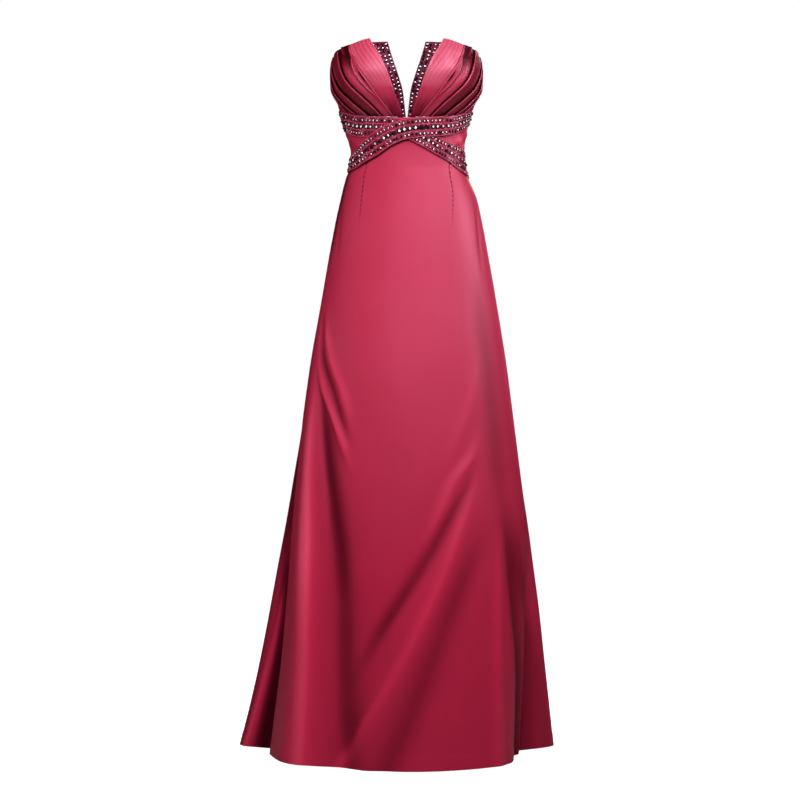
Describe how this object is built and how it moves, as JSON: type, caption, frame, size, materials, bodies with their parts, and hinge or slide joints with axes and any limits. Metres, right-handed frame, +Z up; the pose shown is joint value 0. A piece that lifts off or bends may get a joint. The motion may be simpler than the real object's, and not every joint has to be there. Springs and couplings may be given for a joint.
{
  "type": "evening gown",
  "caption": "Strapless floor-length satin gown in its hollow worn form, with pleated cups, a beaded V neckline, crossed beaded sashes, a back zip and a softly folded A-line skirt.",
  "frame": {"origin": "on the middle line of the ribcage, a little below the cups, where the wearer holds the gown up", "axes": "+Z up, the front faces -Y, and the wearer's left is +X"},
  "size_m": [0.6368, 0.505, 1.4044],
  "materials": {
    "satin": "raspberry red duchess satin with a soft sheen",
    "pleated_satin": "the same satin folded in diagonal pleats",
    "beaded_satin": "satin with rows of faceted stones and small beads",
    "crystal": "clear and garnet faceted stones",
    "zip_tape": "woven polyester tape with a coil",
    "zip_metal": "enamel dyed to match the satin"
  },
  "bodies": {
    "root": {"cup_right": "pleated_satin", "cup_left": "pleated_satin", "neck_band_right": "beaded_satin", "neck_band_left": "beaded_satin", "midriff_front": "satin", "bodice_back_left": "satin", "bodice_back_right": "satin", "sash_lower": "beaded_satin", "sash_upper": "beaded_satin", "skirt_front": "satin", "skirt_back_left": "satin", "skirt_back_right": "satin", "zip_tape": "zip_tape", "zip_slider": "zip_metal"},
    "pull": {"zip_pull": "zip_metal"}
  },
  "joints": [
    {"name": "pull_hinge", "type": "hinge", "parent": "root", "child": "pull", "pos_m": [0, 0.09255, 0.0365], "axis": [1, 0, 0], "range_deg": [0, 165]}
  ]
}
